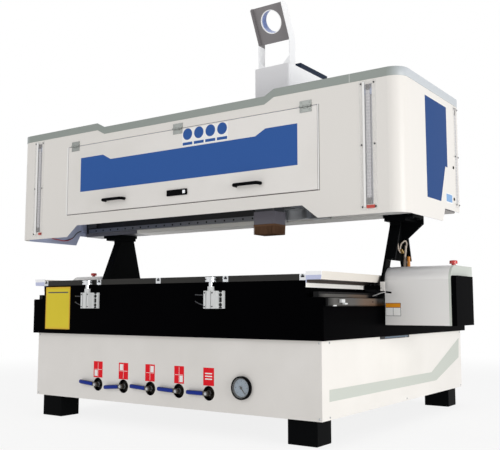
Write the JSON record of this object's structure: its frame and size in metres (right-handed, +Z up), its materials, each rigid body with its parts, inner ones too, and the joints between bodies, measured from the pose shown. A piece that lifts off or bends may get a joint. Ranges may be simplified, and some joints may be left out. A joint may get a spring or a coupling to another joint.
{
  "type": "cnc milling machine",
  "caption": "Gantry milling machine: vacuum table with T-slots on a closed base, travelling bridge with rounded hood, top-hinged door, spindle with brush skirt, drive boxes, valves and gauge.",
  "frame": {"origin": "on the floor below the middle of the table", "axes": "+X to the machine's right along the bridge, -Y to its front, +Z up"},
  "size_m": [2.832, 2.062, 2.3372],
  "materials": {
    "bed_black": "gloss black paint",
    "panel_white": "satin white paint",
    "port_black": "satin black paint",
    "hood_white": "satin white paint",
    "door_white": "satin white paint",
    "trim_green_grey": "satin green-grey paint",
    "frame_white": "satin white paint",
    "tower_white": "satin white paint",
    "column_black": "gloss black paint",
    "cover_cream": "satin cream paint",
    "drive_white": "satin white paint",
    "cap_black": "fine grain",
    "beam_paint": "satin cream paint",
    "board_grey": "machined grey board",
    "slot_aluminium": "extruded",
    "ground_steel": "ground",
    "plate_steel": "machined",
    "pin_steel": "polished",
    "cylinder_aluminium": "anodised",
    "gauge_black": "satin black paint",
    "gauge_clear": "clear",
    "needle_black": "matt black",
    "valve_brass": "cast",
    "lever_blue": "dipped vinyl",
    "light_clear": "clear acrylic",
    "light_bar": "satin",
    "motor_black": "satin black",
    "collar_black": "fine grain",
    "stop_red": "gloss",
    "hinge_steel": "satin",
    "handle_black": "fine grain",
    "lock_black": "fine grain",
    "lock_chrome": "polished",
    "cable_grey": "matt",
    "spindle_dark": "satin black",
    "shoe_grey": "matt",
    "brush_brown": "bristle"
  },
  "bodies": {
    "bed": {"feet": "bed_black", "base_frame": "bed_black", "front_panel": "panel_white", "side_rear_panels": "panel_white", "vacuum_port": "port_black", "bed_body": "bed_black", "vacuum_boards": "board_grey", "t_slot_rails": "slot_aluminium", "rail_cover_left": "cover_cream", "rail_cover_right": "cover_cream", "y_rails": "ground_steel", "y_racks": "ground_steel", "gauge_case": "gauge_black", "gauge_glass": "gauge_clear", "valve_bodies": "valve_brass", "locating_cylinders": "cylinder_aluminium"},
    "gantry": {"column_left": "column_black", "column_right": "column_black", "y_blocks": "ground_steel", "beam": "beam_paint", "x_rails": "ground_steel", "hood_shell": "hood_white", "hood_trim": "trim_green_grey", "hood_frame": "frame_white", "light_covers": "light_clear", "light_bars": "light_bar", "drive_cover_left": "drive_white", "drive_cover_right": "drive_white", "drive_cap_left": "cap_black", "drive_cap_right": "cap_black", "y_motors": "motor_black", "e_stop_collars": "collar_black", "hood_hinge_leaves": "hinge_steel", "column_cables": "cable_grey"},
    "door": {"door_panel": "door_white", "door_hinge_leaves": "hinge_steel", "door_handles": "handle_black", "lock_body": "lock_black"},
    "lock_button": {"lock_button": "lock_chrome"},
    "carriage": {"carriage_plate": "plate_steel", "x_blocks": "ground_steel", "tower_box": "tower_white", "tower_lid": "cap_black", "hose_bracket": "tower_white", "z_motor": "motor_black"},
    "z_slide": {"z_slide": "plate_steel", "spindle_body": "spindle_dark", "dust_shoe": "shoe_grey", "brush_skirt": "brush_brown"},
    "spindle_rotor": {"collet_nut": "pin_steel"},
    "gauge_needle": {"gauge_needle": "needle_black"},
    "locating_pin_left": {"locating_pin_left": "pin_steel"},
    "locating_pin_right": {"locating_pin_right": "pin_steel"},
    "e_stop_left": {"e_stop_left": "stop_red"},
    "e_stop_right": {"e_stop_right": "stop_red"},
    "valve_lever_1": {"valve_lever_1": "lever_blue"},
    "valve_lever_2": {"valve_lever_2": "lever_blue"},
    "valve_lever_3": {"valve_lever_3": "lever_blue"},
    "valve_lever_4": {"valve_lever_4": "lever_blue"},
    "valve_lever_5": {"valve_lever_5": "lever_blue"}
  },
  "joints": [
    {"name": "gantry_slide", "type": "slide", "parent": "bed", "child": "gantry", "axis": [0, 1, 0], "range_m": [-0.4, 0.95]},
    {"name": "carriage_slide", "type": "slide", "parent": "gantry", "child": "carriage", "axis": [1, 0, 0], "range_m": [-1.372, 0.428]},
    {"name": "spindle_lift", "type": "slide", "parent": "carriage", "child": "z_slide", "axis": [0, 0, 1], "range_m": [-0.2, 0.03]},
    {"name": "spindle_spin", "type": "hinge", "parent": "z_slide", "child": "spindle_rotor", "pos_m": [0.472, -0.595, 1.1], "axis": [0, 0, 1], "continuous": true},
    {"name": "door_swing", "type": "hinge", "parent": "gantry", "child": "door", "pos_m": [0, -0.826, 1.6485], "axis": [-1, 0, 0], "range_deg": [0, 100]},
    {"name": "lock_push", "type": "slide", "parent": "door", "child": "lock_button", "axis": [0, 1, 0], "range_m": [0, 0.004], "stiffness_N_per_m": 800},
    {"name": "gauge_turn", "type": "hinge", "parent": "bed", "child": "gauge_needle", "pos_m": [0.538, -0.954, 0.248], "axis": [0, -1, 0], "range_deg": [-60, 240], "stiffness_Nm_per_rad": 0.002},
    {"name": "pin_lift_left", "type": "slide", "parent": "bed", "child": "locating_pin_left", "axis": [0, 0, 1], "range_m": [-0.02, 0.03]},
    {"name": "stop_push_left", "type": "slide", "parent": "gantry", "child": "e_stop_left", "axis": [0, 0, -1], "range_m": [0, 0.006], "stiffness_N_per_m": 2000},
    {"name": "pin_lift_right", "type": "slide", "parent": "bed", "child": "locating_pin_right", "axis": [0, 0, 1], "range_m": [-0.02, 0.03]},
    {"name": "stop_push_right", "type": "slide", "parent": "gantry", "child": "e_stop_right", "axis": [0, 0, -1], "range_m": [0, 0.006], "stiffness_N_per_m": 2000},
    {"name": "valve_turn_1", "type": "hinge", "parent": "bed", "child": "valve_lever_1", "pos_m": [-0.468, -0.959, 0.208], "axis": [0, -1, 0], "range_deg": [0, 90]},
    {"name": "valve_turn_2", "type": "hinge", "parent": "bed", "child": "valve_lever_2", "pos_m": [-0.269, -0.959, 0.208], "axis": [0, -1, 0], "range_deg": [0, 90]},
    {"name": "valve_turn_3", "type": "hinge", "parent": "bed", "child": "valve_lever_3", "pos_m": [-0.07, -0.959, 0.208], "axis": [0, -1, 0], "range_deg": [0, 90]},
    {"name": "valve_turn_4", "type": "hinge", "parent": "bed", "child": "valve_lever_4", "pos_m": [0.129, -0.959, 0.208], "axis": [0, -1, 0], "range_deg": [0, 90]},
    {"name": "valve_turn_5", "type": "hinge", "parent": "bed", "child": "valve_lever_5", "pos_m": [0.328, -0.959, 0.208], "axis": [0, -1, 0], "range_deg": [0, 90]}
  ]
}
